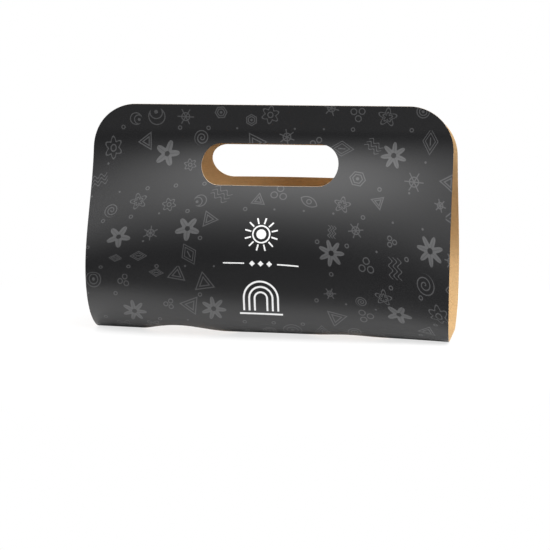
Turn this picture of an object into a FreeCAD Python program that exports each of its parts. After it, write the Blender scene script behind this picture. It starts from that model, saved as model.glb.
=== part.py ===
import FreeCAD, Part
import math
import os
import Sketcher

from FreeCAD import Vector

# Carrier with two round holes: one strip of printed card, bent into a loop and glued to itself
# at the top, where the doubled card is the handle. Millimetres, +X along the handle, +Y to the
# back, +Z up, origin under the middle of the loop on the surface that it stands on.

os.makedirs("parts", exist_ok=True)
doc = FreeCAD.newDocument("cup_carrier")
sheet = doc.addObject("Spreadsheet::Sheet", "sizes")
sheet_row = 0


def size(alias, value):
    """Write one driving size into the sheet under its name, and hand it back."""
    global sheet_row
    sheet_row += 1
    sheet.set(f"A{sheet_row}", alias)
    sheet.set(f"B{sheet_row}", str(value))
    sheet.setAlias(f"B{sheet_row}", alias)
    return value


# The card and its blank
card_thickness = size("card_thickness", 0.6)
blank_width = size("blank_width", 256.0)
corner_radius = size("corner_radius", 31.0)
glue_shift = size("glue_shift", 2.6)
glue_bead = size("glue_bead", 0.4)

# Heights above the surface it stands on
loop_height = size("loop_height", 132.0)
handle_height = size("handle_height", 28.5)

# The hand slot, cut through both wings
slot_length = size("slot_length", 97.0)
slot_height = size("slot_height", 27.0)
slot_drop = size("slot_drop", 27.0)

# The back wing: cut lower so that it doesn't show, its slot glued a little low and to one side
back_drop = size("back_drop", 3.0)
slot_sink = size("slot_sink", 1.5)
slot_slip = size("slot_slip", 1.0)

# The two holes in the base: round in the flat blank, a little narrower once it is bent
hole_length = size("hole_length", 78.0)
hole_depth = size("hole_depth", 62.0)
hole_pitch = size("hole_pitch", 117.0)
hole_cut_height = size("hole_cut_height", 40.0)

# The wall between the ends, which bulges full on both sides. Reach is how far it stands out
# from the glued plane, neck and shoulder how it leaves the handle, heel and toe how it turns
# under, and land the half width of the flat strip that it stands on.
middle_reach = size("middle_reach", 44.8)
middle_widest_at = size("middle_widest_at", 46.0)
middle_neck = size("middle_neck", 4.0)
middle_shoulder = size("middle_shoulder", 51.0)
middle_heel = size("middle_heel", 26.0)
middle_toe = size("middle_toe", 38.0)
middle_land = size("middle_land", 6.0)

# The back wall between the ends leaves the handle sooner and is fullest higher up
back_widest_at = size("back_widest_at", 60.0)
back_neck = size("back_neck", 2.0)
back_shoulder = size("back_shoulder", 52.0)
back_heel = size("back_heel", 40.0)

# The free edge that is tucked in: front left and back right
tucked_reach = size("tucked_reach", 36.5)
tucked_widest_at = size("tucked_widest_at", 44.0)
tucked_neck = size("tucked_neck", 14.0)
tucked_shoulder = size("tucked_shoulder", 26.0)
tucked_heel = size("tucked_heel", 30.0)
tucked_toe = size("tucked_toe", 3.5)
tucked_land = size("tucked_land", 7.0)

# The free edge that is flared: front right and back left
flared_reach = size("flared_reach", 41.2)
flared_widest_at = size("flared_widest_at", 15.5)
flared_neck = size("flared_neck", 2.0)
flared_shoulder = size("flared_shoulder", 55.5)
flared_heel = size("flared_heel", 10.0)
flared_toe = size("flared_toe", 16.0)
flared_land = size("flared_land", 24.0)
end_hold = size("end_hold", 0.55)

# The cuts through the bent card
slant_half = size("slant_half", 28.0)
wing_start = size("wing_start", 62.0)
cutter_margin = size("cutter_margin", 12.0)
trim_margin = size("trim_margin", 2.0)
doc.recompute()

total_height = loop_height + handle_height
half_width = blank_width / 2
bead_half = glue_bead / 2
sheet_end = half_width + glue_shift / 2 + trim_margin
FRONT = -1
BACK = 1
TINY = 1e-6


class Side:
    """One side of the loop at one place along the handle, as poles of (outward, up)."""

    def __init__(self, reach, widest_at, neck, shoulder, heel, toe, land):
        self.handle_foot = (card_thickness, loop_height)
        self.neck_pole = (card_thickness, loop_height - neck)
        self.shoulder_pole = (reach, widest_at + shoulder)
        self.widest = (reach, widest_at)
        self.heel_pole = (reach, widest_at - heel)
        self.toe_pole = (land + toe, 0.0)
        self.land_edge = (land, 0.0)

    def outer_wall(self):
        """The S-curve from the handle down to the widest point."""
        return [self.handle_foot, self.neck_pole, self.shoulder_pole, self.widest]

    def outer_turn(self):
        """The curve from the widest point down and in to the flat land."""
        return [self.widest, self.heel_pole, self.toe_pole, self.land_edge]

    def inner_wall(self):
        """The same S-curve on the inside of the card, from the bead of glue."""
        poles = offset_inwards(self.outer_wall())
        poles[0] = (bead_half, loop_height)
        poles[1] = (max(poles[1][0], bead_half), poles[1][1])
        return poles

    def inner_turn(self):
        """The same turn on the inside of the card, down to the land's upper face."""
        return offset_inwards(self.outer_turn())


def offset_inwards(poles):
    """Move a chain of poles in by the card's thickness, leg by leg."""
    legs = []
    for (y0, z0), (y1, z1) in zip(poles, poles[1:]):
        run = Vector(y1 - y0, z1 - z0, 0)
        run.normalize()
        inward = Vector(run.y, -run.x, 0) * card_thickness
        legs.append((Vector(y0, z0, 0) + inward, run))
    moved = [legs[0][0]]
    for (base, run), (next_base, next_run) in zip(legs, legs[1:]):
        turn = run.x * next_run.y - run.y * next_run.x
        gap = next_base - base
        if abs(turn) < TINY:
            moved.append(next_base)
        else:
            along = (gap.x * next_run.y - gap.y * next_run.x) / turn
            moved.append(base + run * along)
    last_pole = Vector(poles[-1][0], poles[-1][1], 0)
    last_run = legs[-1][1]
    moved.append(last_pole + Vector(last_run.y, -last_run.x, 0) * card_thickness)
    return [(point.x, point.y) for point in moved]


# At each end the free edge is tucked in on one side and flared on the other, the opposite way
# round at the other end
middle = Side(
    middle_reach,
    middle_widest_at,
    middle_neck,
    middle_shoulder,
    middle_heel,
    middle_toe,
    middle_land,
)
back_middle = Side(
    middle_reach,
    back_widest_at,
    back_neck,
    back_shoulder,
    back_heel,
    middle_toe,
    middle_land,
)
tucked = Side(
    tucked_reach,
    tucked_widest_at,
    tucked_neck,
    tucked_shoulder,
    tucked_heel,
    tucked_toe,
    tucked_land,
)
flared = Side(
    flared_reach,
    flared_widest_at,
    flared_neck,
    flared_shoulder,
    flared_heel,
    flared_toe,
    flared_land,
)
sides_by_face = {FRONT: (tucked, middle, flared), BACK: (flared, back_middle, tucked)}

# The curve along the handle is a cubic of three spans, with its poles at even parameters
DEGREE = 3
SPANS = 3
knots = [index / SPANS for index in range(SPANS + 1)]
end_knots = [DEGREE + 1]
along_multiplicities = end_knots + [1] * (SPANS - 1) + end_knots
down_multiplicities = end_knots + end_knots
flat_knots = [knot for knot, count in zip(knots, along_multiplicities) for _ in range(count)]
pole_parameters = []
for index in range(SPANS + DEGREE):
    pole_parameters.append(sum(flat_knots[index + 1 : index + 1 + DEGREE]) / DEGREE)


def blend(from_pole, to_pole, share):
    """The point a share of the way from one pole to another."""
    return tuple(a + (b - a) * share for a, b in zip(from_pole, to_pole))


def skin(face_sign, chain):
    """A wall patch: the curve named by chain, carried from the left end to the right end."""
    left_side, middle_side, right_side = sides_by_face[face_sign]
    rows = []
    left_chain = getattr(left_side, chain)()
    middle_chain = getattr(middle_side, chain)()
    right_chain = getattr(right_side, chain)()
    for left, centre, right in zip(left_chain, middle_chain, right_chain):
        near_left = blend(centre, left, end_hold)
        near_right = blend(centre, right, end_hold)
        row = []
        for parameter, pole in zip(
            pole_parameters, (left, near_left, centre, centre, near_right, right)
        ):
            x = (2 * parameter - 1) * sheet_end
            row.append(Vector(x, face_sign * pole[0], pole[1]))
        rows.append(row)
    surface = Part.BSplineSurface()
    surface.buildFromPolesMultsKnots(
        rows,
        down_multiplicities,
        along_multiplicities,
        [knots[0], knots[-1]],
        knots,
        False,
        False,
        DEGREE,
        DEGREE,
    )
    return surface


def row_edge(surface, at):
    """The edge of a wall patch at its first or last row."""
    return surface.uIso(at).toShape()


def flat_between(first_edge, second_edge):
    """A flat face bounded by two edges that run along the handle."""
    first_ends = sorted((v.Point for v in first_edge.Vertexes), key=lambda point: point.x)
    second_ends = sorted((v.Point for v in second_edge.Vertexes), key=lambda point: point.x)
    left = Part.LineSegment(first_ends[0], second_ends[0]).toShape()
    right = Part.LineSegment(first_ends[1], second_ends[1]).toShape()
    return Part.Face(Part.Wire(Part.__sortEdges__([first_edge, right, second_edge, left])))


# The folded sheet before its ends, corners and holes are cut: patches sewn into one solid
patches = {}
for sign in (FRONT, BACK):
    for chain_name in ("outer_wall", "outer_turn", "inner_wall", "inner_turn"):
        patches[sign, chain_name] = skin(sign, chain_name)

top_edges = {}
for sign in (FRONT, BACK):
    y_face = sign * card_thickness
    top_edges[sign] = Part.LineSegment(
        Vector(-sheet_end, y_face, total_height), Vector(sheet_end, y_face, total_height)
    ).toShape()

faces = [surface.toShape() for surface in patches.values()]
faces.append(flat_between(top_edges[FRONT], top_edges[BACK]))
for sign in (FRONT, BACK):
    faces.append(flat_between(top_edges[sign], row_edge(patches[sign, "outer_wall"], 0)))
for chain_name, at in (("outer_turn", 1), ("inner_turn", 1), ("inner_wall", 0)):
    faces.append(
        flat_between(
            row_edge(patches[FRONT, chain_name], at), row_edge(patches[BACK, chain_name], at)
        )
    )
for end_x in (-sheet_end, sheet_end):
    end_edges = []
    for face in faces:
        for edge in face.Edges:
            if all(abs(vertex.X - end_x) < TINY for vertex in edge.Vertexes):
                end_edges.append(edge)
    wires = [Part.Wire(group) for group in Part.sortEdges(end_edges)]
    faces.append(Part.makeFace(wires, "Part::FaceMakerBullseye"))

shell = Part.Shell(faces)
shell.sewShape()
loop_solid = Part.Solid(shell)
if loop_solid.Volume < 0:
    loop_solid.reverse()
folded_sheet = doc.addObject("Part::Feature", "folded_sheet")
folded_sheet.Shape = loop_solid


# The die's outline for the wings, drawn in the handle's plane
def origin_plane(body, role):
    for feature in body.Origin.OriginFeatures:
        if feature.Role == role:
            return feature
    raise ValueError(role)


def bind(sketch, name, constraint, expression):
    """Add a named dimension to a sketch and tie it to the sheet."""
    index = sketch.addConstraint(constraint)
    sketch.renameConstraint(index, name)
    sketch.setExpression(f"Constraints.{name}", expression)


def wing_outline(name, face_sign):
    """A block with the outline of one wing: round top corners and the stadium hand slot."""
    body = doc.addObject("PartDesign::Body", name)
    sketch = body.newObject("Sketcher::SketchObject", f"{name}_outline")
    sketch.AttachmentSupport = [(origin_plane(body, "XZ_Plane"), "")]
    sketch.MapMode = "FlatFace"
    centre_x = face_sign * glue_shift / 2
    left, right = centre_x - half_width, centre_x + half_width
    at_back = face_sign == BACK
    low, high = wing_start, total_height - (back_drop if at_back else 0)
    round_z = high - corner_radius
    slot_radius = slot_height / 2
    slot_z = total_height - slot_drop - slot_radius - (slot_sink if at_back else 0)
    slot_half = slot_length / 2 - slot_radius
    slot_x = centre_x + (slot_slip if at_back else 0)
    upright = Vector(0, 0, 1)
    quarter = math.pi / 2
    line, arc, disc = Part.LineSegment, Part.ArcOfCircle, Part.Circle
    sketch.addGeometry(line(Vector(left, low, 0), Vector(right, low, 0)))
    sketch.addGeometry(line(Vector(right, low, 0), Vector(right, round_z, 0)))
    right_corner = disc(Vector(right - corner_radius, round_z, 0), upright, corner_radius)
    sketch.addGeometry(arc(right_corner, 0, quarter))
    sketch.addGeometry(
        line(Vector(right - corner_radius, high, 0), Vector(left + corner_radius, high, 0))
    )
    left_corner = disc(Vector(left + corner_radius, round_z, 0), upright, corner_radius)
    sketch.addGeometry(arc(left_corner, quarter, 2 * quarter))
    sketch.addGeometry(line(Vector(left, round_z, 0), Vector(left, low, 0)))
    sketch.addGeometry(
        line(
            Vector(slot_x - slot_half, slot_z + slot_radius, 0),
            Vector(slot_x + slot_half, slot_z + slot_radius, 0),
        )
    )
    slot_right = disc(Vector(slot_x + slot_half, slot_z, 0), upright, slot_radius)
    sketch.addGeometry(arc(slot_right, -quarter, quarter))
    sketch.addGeometry(
        line(
            Vector(slot_x + slot_half, slot_z - slot_radius, 0),
            Vector(slot_x - slot_half, slot_z - slot_radius, 0),
        )
    )
    slot_left = disc(Vector(slot_x - slot_half, slot_z, 0), upright, slot_radius)
    sketch.addGeometry(arc(slot_left, quarter, 3 * quarter))
    constraint = Sketcher.Constraint
    sketch.addConstraint(
        [
            constraint("Coincident", 0, 2, 1, 1),
            constraint("Tangent", 1, 2, 2, 1),
            constraint("Tangent", 2, 2, 3, 1),
            constraint("Tangent", 3, 2, 4, 1),
            constraint("Tangent", 4, 2, 5, 1),
            constraint("Coincident", 5, 2, 0, 1),
            constraint("Horizontal", 0),
            constraint("Vertical", 1),
            constraint("Vertical", 5),
            constraint("Equal", 2, 4),
            constraint("Tangent", 6, 2, 7, 2),
            constraint("Tangent", 7, 1, 8, 1),
            constraint("Tangent", 8, 2, 9, 2),
            constraint("Tangent", 9, 1, 6, 1),
            constraint("Horizontal", 6),
            constraint("Equal", 7, 9),
        ]
    )
    lean = "+" if face_sign > 0 else "-"
    bind(
        sketch,
        "wing_right",
        constraint("DistanceX", -1, 1, 0, 2, right),
        f"sizes.blank_width / 2 {lean} sizes.glue_shift / 2",
    )
    bind(sketch, "wing_width", constraint("DistanceX", 0, 1, 0, 2, blank_width), "sizes.blank_width")
    bind(sketch, "wing_low", constraint("DistanceY", -1, 1, 0, 1, low), "sizes.wing_start")
    bind(
        sketch,
        "wing_high",
        constraint("DistanceY", -1, 1, 3, 1, high),
        "sizes.loop_height + sizes.handle_height" + (" - sizes.back_drop" if at_back else ""),
    )
    bind(sketch, "corner", constraint("Radius", 2, corner_radius), "sizes.corner_radius")
    bind(sketch, "slot_round", constraint("Radius", 7, slot_radius), "sizes.slot_height / 2")
    bind(
        sketch,
        "slot_straight",
        constraint("DistanceX", 6, 1, 6, 2, 2 * slot_half),
        "sizes.slot_length - sizes.slot_height",
    )
    bind(
        sketch,
        "slot_top",
        constraint("DistanceY", 6, 2, 3, 1, high - slot_z - slot_radius),
        "sizes.slot_drop" + (" + sizes.slot_sink - sizes.back_drop" if at_back else ""),
    )
    bind(
        sketch,
        "slot_place",
        constraint("DistanceX", 6, 2, 0, 2, right - slot_x - slot_half),
        "sizes.blank_width / 2 - (sizes.slot_length - sizes.slot_height) / 2"
        + (" - sizes.slot_slip" if at_back else ""),
    )
    pad = body.newObject("PartDesign::Pad", f"{name}_block")
    pad.Profile = sketch
    pad.setExpression("Length", "sizes.middle_reach + sizes.cutter_margin")
    pad.Reversed = face_sign == BACK
    return body


def base_outline():
    """A block with the outline of the blank's lower part, seen from above."""
    body = doc.addObject("PartDesign::Body", "base_cutter")
    sketch = body.newObject("Sketcher::SketchObject", "base_outline")
    sketch.AttachmentSupport = [(origin_plane(body, "XY_Plane"), "")]
    sketch.MapMode = "FlatFace"
    lean = glue_shift / 2
    far = middle_reach + cutter_margin
    corners = [
        Vector(-half_width - lean, -far, 0),
        Vector(half_width - lean, -far, 0),
        Vector(half_width - lean, -slant_half, 0),
        Vector(half_width + lean, slant_half, 0),
        Vector(half_width + lean, far, 0),
        Vector(-half_width + lean, far, 0),
        Vector(-half_width + lean, slant_half, 0),
        Vector(-half_width - lean, -slant_half, 0),
    ]
    for start, end in zip(corners, corners[1:] + corners[:1]):
        sketch.addGeometry(Part.LineSegment(start, end))
    constraint = Sketcher.Constraint
    for index in range(len(corners)):
        sketch.addConstraint(constraint("Coincident", index, 2, (index + 1) % len(corners), 1))
    for index in (0, 4):
        sketch.addConstraint(constraint("Horizontal", index))
    for index in (1, 3, 5, 7):
        sketch.addConstraint(constraint("Vertical", index))
    near_side = "sizes.blank_width / 2 - sizes.glue_shift / 2"
    far_side = "sizes.blank_width / 2 + sizes.glue_shift / 2"
    far_out = "sizes.middle_reach + sizes.cutter_margin"
    slant = "sizes.slant_half"
    bind(sketch, "front_right", constraint("DistanceX", -1, 1, 1, 1, half_width - lean), near_side)
    bind(sketch, "back_right", constraint("DistanceX", -1, 1, 3, 1, half_width + lean), far_side)
    bind(sketch, "back_left", constraint("DistanceX", 5, 1, -1, 1, half_width - lean), near_side)
    bind(sketch, "front_left", constraint("DistanceX", 7, 1, -1, 1, half_width + lean), far_side)
    bind(sketch, "front_far", constraint("DistanceY", 0, 1, -1, 1, far), far_out)
    bind(sketch, "back_far", constraint("DistanceY", -1, 1, 4, 1, far), far_out)
    bind(sketch, "slant_front_right", constraint("DistanceY", 1, 2, -1, 1, slant_half), slant)
    bind(sketch, "slant_back_right", constraint("DistanceY", -1, 1, 3, 1, slant_half), slant)
    bind(sketch, "slant_back_left", constraint("DistanceY", -1, 1, 5, 2, slant_half), slant)
    bind(sketch, "slant_front_left", constraint("DistanceY", 7, 1, -1, 1, slant_half), slant)
    return body, sketch


front_wing = wing_outline("front_wing_cutter", FRONT)
back_wing = wing_outline("back_wing_cutter", BACK)
base_block, base_sketch = base_outline()
base_pad = base_block.newObject("PartDesign::Pad", "base_block")
base_pad.Profile = base_sketch
base_pad.setExpression("Length", "sizes.wing_start + sizes.cutter_margin")
base_sketch.setExpression("AttachmentOffset.Base.z", "-sizes.cutter_margin")

# The die's whole outline, and the blank cut to it
die_outline = doc.addObject("Part::MultiFuse", "die_outline")
die_outline.Shapes = [front_wing, back_wing, base_block]
cut_sheet = doc.addObject("Part::Common", "cut_sheet")
cut_sheet.Base = folded_sheet
cut_sheet.Tool = die_outline

# The two holes, cut straight up through the base
hole_cutters = []
for hole_name, hole_side in (("left_cup_hole", "-"), ("right_cup_hole", "")):
    outline = doc.addObject("Part::Ellipse", f"{hole_name}_outline")
    outline.setExpression("MajorRadius", "sizes.hole_length / 2")
    outline.setExpression("MinorRadius", "sizes.hole_depth / 2")
    outline.setExpression("Placement.Base.x", f"{hole_side}sizes.hole_pitch / 2")
    outline.setExpression("Placement.Base.z", "-sizes.cutter_margin")
    hole = doc.addObject("Part::Extrusion", hole_name)
    hole.Base = outline
    hole.DirMode = "Custom"
    hole.Dir = Vector(0, 0, 1)
    hole.Solid = True
    hole.setExpression("LengthFwd", "sizes.hole_cut_height + sizes.cutter_margin")
    hole_cutters.append(hole)
cup_holes = doc.addObject("Part::MultiFuse", "cup_holes")
cup_holes.Shapes = hole_cutters
carrier_sleeve = doc.addObject("Part::Cut", "carrier_sleeve")
carrier_sleeve.Base = cut_sheet
carrier_sleeve.Tool = cup_holes
carrier_sleeve.Label = "carrier_sleeve"
doc.recompute()

sub_parts = [carrier_sleeve]
for item in doc.Objects:
    if {"Invalid", "Error"} & set(item.State):
        raise RuntimeError(f"{item.Name} failed: {item.State}")
for item in sub_parts:
    if item.Shape.isNull() or not item.Shape.isValid():
        raise RuntimeError(f"{item.Label} has no valid shape")
    if len(item.Shape.Solids) != 1:
        raise RuntimeError(f"{item.Label} is {len(item.Shape.Solids)} solids")
    item.Shape.exportStep(f"parts/{item.Label}.step")
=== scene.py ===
"""The printed card of a cup carrier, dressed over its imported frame, in a plain studio.

The card is modelled as its maker makes it: a flat strip, bent into a loop with its two wings
glued together, given its thickness, then pierced by the hand slot and the two round holes.
"""

import logging
import math
from dataclasses import dataclass, field
from enum import Enum
from typing import Callable, Sequence

import bmesh
import bpy
from mathutils import Matrix, Vector


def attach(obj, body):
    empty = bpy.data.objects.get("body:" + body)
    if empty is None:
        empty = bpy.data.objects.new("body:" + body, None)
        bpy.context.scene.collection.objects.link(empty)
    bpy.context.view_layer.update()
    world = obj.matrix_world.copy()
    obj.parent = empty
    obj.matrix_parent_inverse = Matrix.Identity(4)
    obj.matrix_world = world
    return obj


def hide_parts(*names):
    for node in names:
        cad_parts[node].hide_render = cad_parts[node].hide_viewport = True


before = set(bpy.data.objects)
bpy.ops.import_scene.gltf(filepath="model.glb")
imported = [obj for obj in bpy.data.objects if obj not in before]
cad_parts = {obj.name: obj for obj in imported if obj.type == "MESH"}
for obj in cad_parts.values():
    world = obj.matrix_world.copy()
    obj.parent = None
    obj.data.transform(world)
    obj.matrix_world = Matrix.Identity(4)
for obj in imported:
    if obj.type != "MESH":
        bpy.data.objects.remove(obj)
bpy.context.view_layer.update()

LOG = logging.getLogger("cup_carrier")
NODE = "carrier_sleeve"
MM = 0.001
# Millimetres of the flat strip to one unit of its UV map
SHEET_SPAN = 500.0
# Height of the white device's middle on the front wall, in millimetres
DEVICE_UP = 45.3
# Depth of the fibres in metres, and how far they change the roughness
BUMP_DEPTH = 0.0002
ROUGHNESS_SWING = 0.12

Colour = tuple[float, float, float]
Pole = tuple[float, float]
Socket = bpy.types.NodeSocket
Number = float | int | Socket


class Wing(Enum):
    """The two walls of the loop, by the sign of Y that they stand at."""

    FRONT = -1
    BACK = 1


class Stretch(Enum):
    """The stretches of the strip, in order from the back wing's top to the front wing's."""

    BACK_HANDLE = 0
    BACK_WALL = 1
    BACK_TURN = 2
    LAND = 3
    FRONT_TURN = 4
    FRONT_WALL = 5
    FRONT_HANDLE = 6


# The card's form


@dataclass(frozen=True)
class SideForm:
    """One side of the loop at one place along the handle, in millimetres."""

    reach: float
    widest_at: float
    neck: float
    shoulder: float
    heel: float
    toe: float
    land: float

    def wall(self, card: "CardForm") -> list[Pole]:
        """Poles of the S-curve from the handle down to the widest point.

        Args:
            card: the card, for its thickness and its loop's height.

        Returns:
            The curve's four poles, as (outward, up).
        """
        return [
            (card.thickness, card.loop_height),
            (card.thickness, card.loop_height - self.neck),
            (self.reach, self.widest_at + self.shoulder),
            (self.reach, self.widest_at),
        ]

    def turn(self) -> list[Pole]:
        """Poles of the curve from the widest point down and in to the flat land.

        Returns:
            The curve's four poles, as (outward, up).
        """
        return [
            (self.reach, self.widest_at),
            (self.reach, self.widest_at - self.heel),
            (self.land + self.toe, 0.0),
            (self.land, 0.0),
        ]


def basis(index: int, degree: int, knots: Sequence[float], at: float) -> float:
    """Value of one B-spline basis function.

    Args:
        index: which function, counted from 0.
        degree: its degree.
        knots: the full knot vector.
        at: the parameter, from the first knot up to the last.

    Returns:
        The function's value there.
    """
    if degree == 0:
        last = knots[index] < knots[index + 1] == knots[-1]
        inside = knots[index] <= at < knots[index + 1]
        return 1.0 if inside or (last and at == knots[-1]) else 0.0
    total = 0.0
    span = knots[index + degree] - knots[index]
    if span > 0:
        total += (at - knots[index]) / span * basis(index, degree - 1, knots, at)
    span = knots[index + degree + 1] - knots[index + 1]
    if span > 0:
        left = (knots[index + degree + 1] - at) / span
        total += left * basis(index + 1, degree - 1, knots, at)
    return total


@dataclass(frozen=True)
class CardForm:
    """Sizes of the bent card, in millimetres, and where each point of the strip lies."""

    thickness: float = 0.6
    blank_width: float = 256.0
    corner_radius: float = 31.0
    glue_shift: float = 2.6
    loop_height: float = 143.0
    handle_height: float = 17.5
    slot_length: float = 97.0
    slot_height: float = 27.0
    slot_drop: float = 27.0
    back_drop: float = 3.0
    slot_sink: float = 1.5
    slot_slip: float = 1.0
    hole_length: float = 78.0
    hole_depth: float = 62.0
    hole_pitch: float = 117.0
    slant_half: float = 28.0
    wing_start: float = 62.0
    trim_margin: float = 2.0
    end_hold: float = 0.55
    middle: SideForm = SideForm(44.8, 46.0, 24.5, 54.5, 26.0, 38.0, 6.0)
    back_middle: SideForm = SideForm(44.8, 60.0, 23.2, 56.8, 40.0, 38.0, 6.0)
    tucked: SideForm = SideForm(36.5, 44.0, 36.0, 30.6, 30.0, 3.5, 7.0)
    flared: SideForm = SideForm(41.2, 15.5, 25.0, 60.0, 10.0, 16.0, 24.0)

    @property
    def total_height(self) -> float:
        """Height of the handle's top edge."""
        return self.loop_height + self.handle_height

    def wing_top(self, wing: Wing) -> float:
        """Height of one wing's top edge."""
        return self.total_height - (self.back_drop if wing is Wing.BACK else 0.0)

    @property
    def half_width(self) -> float:
        """Half of the blank's width."""
        return self.blank_width / 2

    @property
    def sheet_end(self) -> float:
        """How far out along X the end profiles stand."""
        return self.half_width + self.glue_shift / 2 + self.trim_margin

    def end_shares(self, x: float) -> tuple[float, float]:
        """How much of the left and of the right end profile the card has at x.

        Args:
            x: place along the handle, in millimetres.

        Returns:
            The two shares, each from 0 to 1.
        """
        knots = (0.0, 0.0, 0.0, 0.0, 1 / 3, 2 / 3, 1.0, 1.0, 1.0, 1.0)
        at = min(max((x / self.sheet_end + 1) / 2, 0.0), 1.0)
        left = basis(0, 3, knots, at) + self.end_hold * basis(1, 3, knots, at)
        right = basis(5, 3, knots, at) + self.end_hold * basis(4, 3, knots, at)
        return left, right

    def side_point(self, wing: Wing, wall: bool, along: float, x: float) -> Pole:
        """A point of one wall or turn, as (outward, up).

        Args:
            wing: which wall of the loop.
            wall: True for the wall, False for the turn under it.
            along: how far along it, from 0 to 1.
            x: place along the handle, in millimetres.

        Returns:
            The point, in millimetres.
        """
        sides = (self.tucked, self.middle, self.flared)
        if wing is Wing.BACK:
            sides = (self.flared, self.back_middle, self.tucked)
        chains = []
        for side in sides:
            chains.append(side.wall(self) if wall else side.turn())
        left, right = self.end_shares(x)
        rest = 1 - along
        weights = (rest**3, 3 * rest**2 * along, 3 * rest * along**2, along**3)
        out = up = 0.0
        for weight, a, b, c in zip(weights, *chains):
            out += weight * (b[0] + left * (a[0] - b[0]) + right * (c[0] - b[0]))
            up += weight * (b[1] + left * (a[1] - b[1]) + right * (c[1] - b[1]))
        return out, up

    def section(self, stretch: Stretch, along: float, x: float) -> Pole:
        """A point of the strip's section at x, as (y, z) on the card's outer face.

        Args:
            stretch: which stretch of the strip the point is on.
            along: how far along that stretch, from 0 to 1, towards the front wing's top.
            x: place along the handle.

        Returns:
            The point's y and z.
        """
        if stretch is Stretch.BACK_HANDLE:
            top = self.wing_top(Wing.BACK)
            return self.thickness, top + (self.loop_height - top) * along
        if stretch is Stretch.FRONT_HANDLE:
            return -self.thickness, self.loop_height + self.handle_height * along
        if stretch is Stretch.LAND:
            back, _ = self.side_point(Wing.BACK, False, 1.0, x)
            front, _ = self.side_point(Wing.FRONT, False, 1.0, x)
            return back - (back + front) * along, 0.0
        is_back = stretch in (Stretch.BACK_WALL, Stretch.BACK_TURN)
        wing = Wing.BACK if is_back else Wing.FRONT
        wall = stretch in (Stretch.BACK_WALL, Stretch.FRONT_WALL)
        out, up = self.side_point(wing, wall, along if is_back else 1 - along, x)
        return wing.value * out, up

    def lean(self, stretch: Stretch, y: float, z: float) -> float:
        """How far the strip is shifted along X where the section is at (y, z).

        Args:
            stretch: which stretch of the strip.
            y: the section's y there.
            z: the section's height there.

        Returns:
            The shift, in millimetres.
        """
        half_shift = self.glue_shift / 2
        if z > self.wing_start:
            return half_shift if stretch.value < Stretch.LAND.value else -half_shift
        return half_shift * min(max(y / self.slant_half, -1.0), 1.0)

    def inset(self, wing: Wing, z: float) -> float:
        """How much a wing's rounded top corners take off each end of the strip at height z.

        Args:
            wing: which wall of the loop.
            z: height on the wing, in millimetres.

        Returns:
            What is taken off each end, in millimetres.
        """
        rise = z - (self.wing_top(wing) - self.corner_radius)
        if rise <= 0:
            return 0.0
        rise = min(rise, self.corner_radius)
        return self.corner_radius - math.sqrt(self.corner_radius**2 - rise**2)

    def place(self, stretch: Stretch, along: float, across: float) -> Vector:
        """Where a point of the strip lies on the finished card's outer face.

        Args:
            stretch: which stretch of the strip.
            along: how far along that stretch, from 0 to 1.
            across: from 0 at the strip's left edge to 1 at its right edge.

        Returns:
            The point, in metres.
        """
        x = (2 * across - 1) * self.half_width
        y, z = self.section(stretch, along, x)
        wing = Wing.BACK if stretch.value < Stretch.LAND.value else Wing.FRONT
        x = (2 * across - 1) * (self.half_width - self.inset(wing, z)) + self.lean(stretch, y, z)
        y, z = self.section(stretch, along, x)
        return Vector((x, y, z)) * MM


# Node arithmetic


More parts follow.
